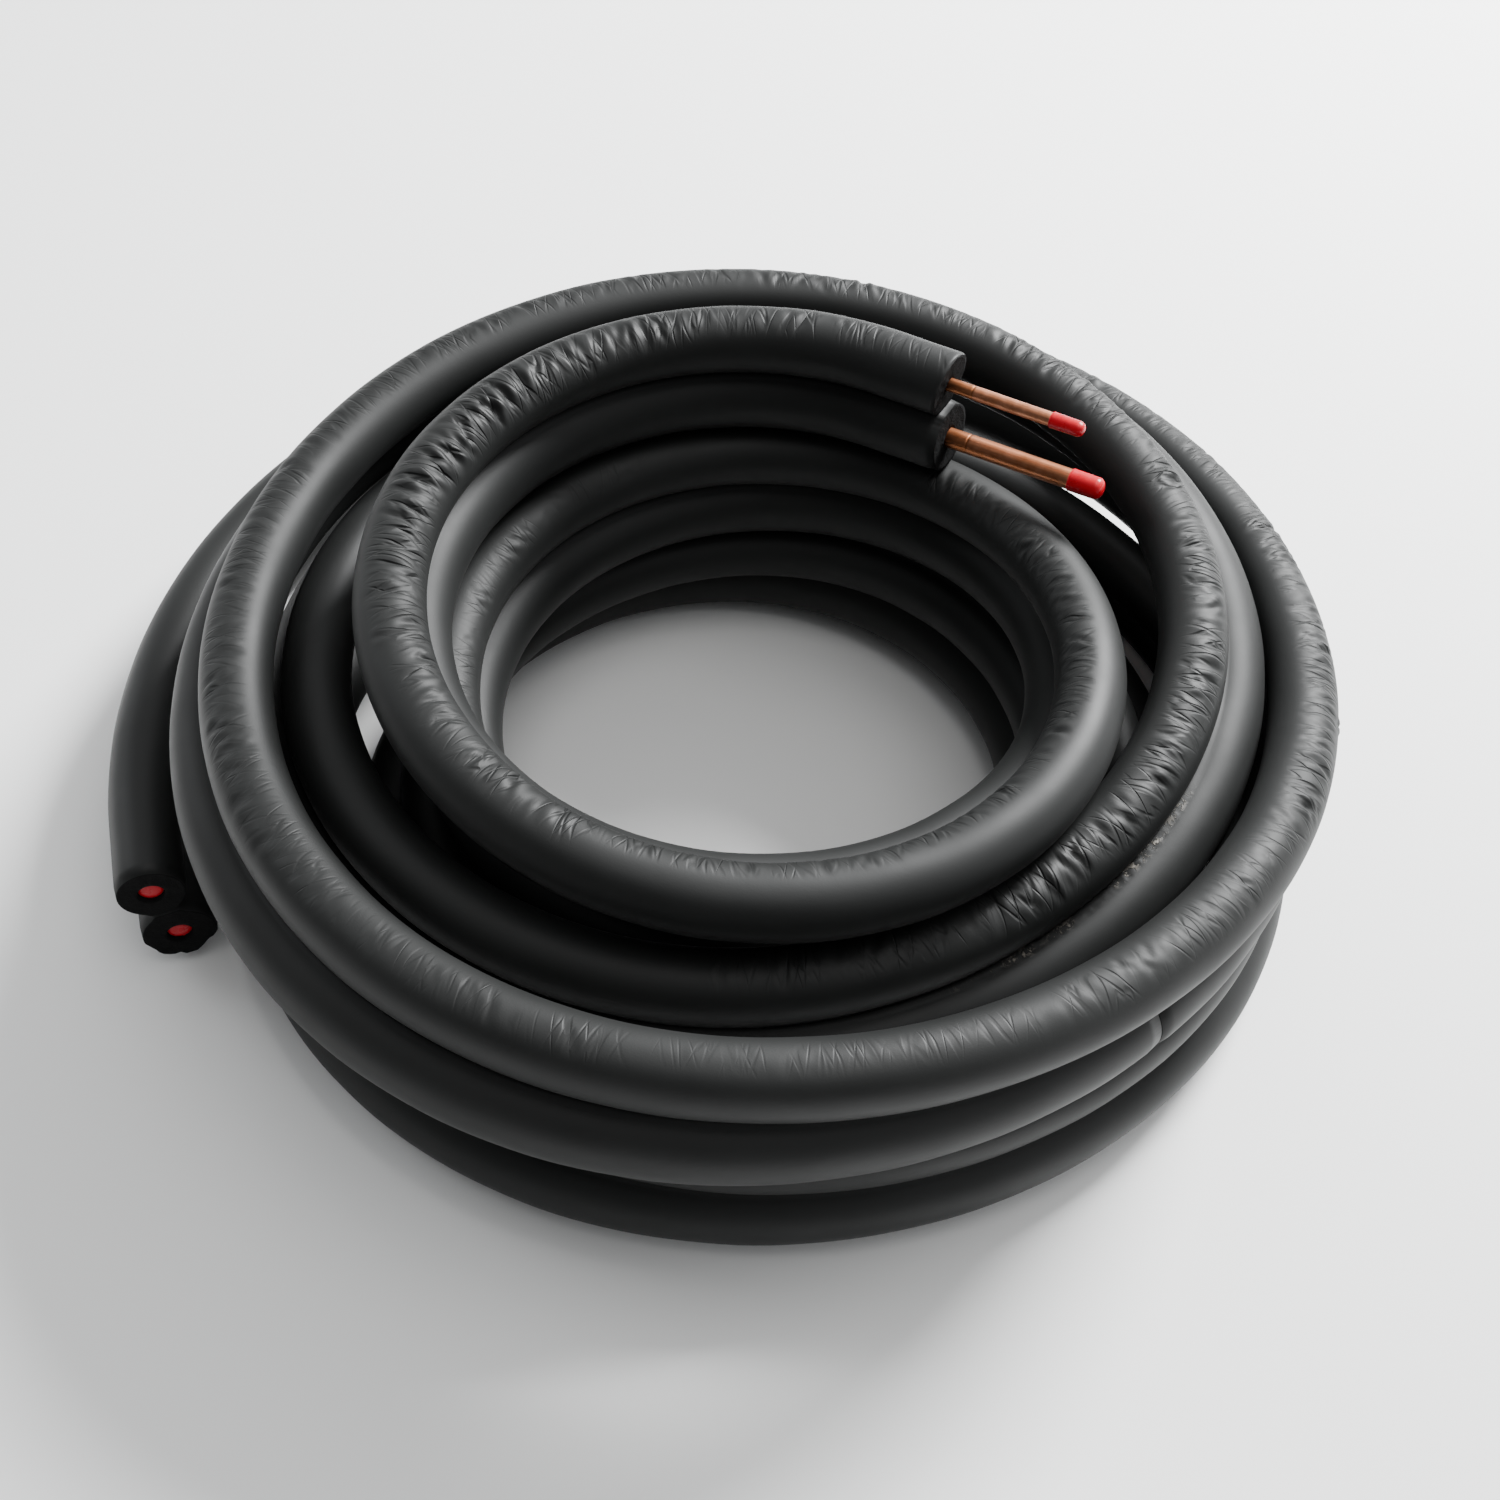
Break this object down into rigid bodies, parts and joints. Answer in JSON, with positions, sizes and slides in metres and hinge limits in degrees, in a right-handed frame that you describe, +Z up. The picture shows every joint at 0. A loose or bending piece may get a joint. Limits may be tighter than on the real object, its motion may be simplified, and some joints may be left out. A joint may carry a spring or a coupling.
{
  "type": "mini split line set",
  "caption": "Loose floor coil of twin copper refrigerant pipes in bonded black foam sleeves, bare capped ends on top, foam-cut capped tail below.",
  "frame": {"origin": "on the floor, under the middle of the coil's bounding box", "axes": "+Z up along the coil's axis, -Y towards the viewer of the front, +X to the viewer's right, towards the bare ends"},
  "size_m": [0.5646, 0.5606, 0.2093],
  "materials": {
    "copper": "drawn soft copper, satin",
    "foam": "closed-cell foam with a smooth satin skin",
    "dust_cap": "soft red vinyl, glossy"
  },
  "bodies": {
    "root": {"liquid_line_copper": "copper", "suction_line_copper": "copper", "liquid_sleeve_inner_length": "foam", "liquid_sleeve_outer_length": "foam", "suction_sleeve_inner_length": "foam", "suction_sleeve_outer_length": "foam", "liquid_cap_inner_end": "dust_cap", "suction_cap_inner_end": "dust_cap", "liquid_cap_tail_end": "dust_cap", "suction_cap_tail_end": "dust_cap"}
  },
  "joints": []
}
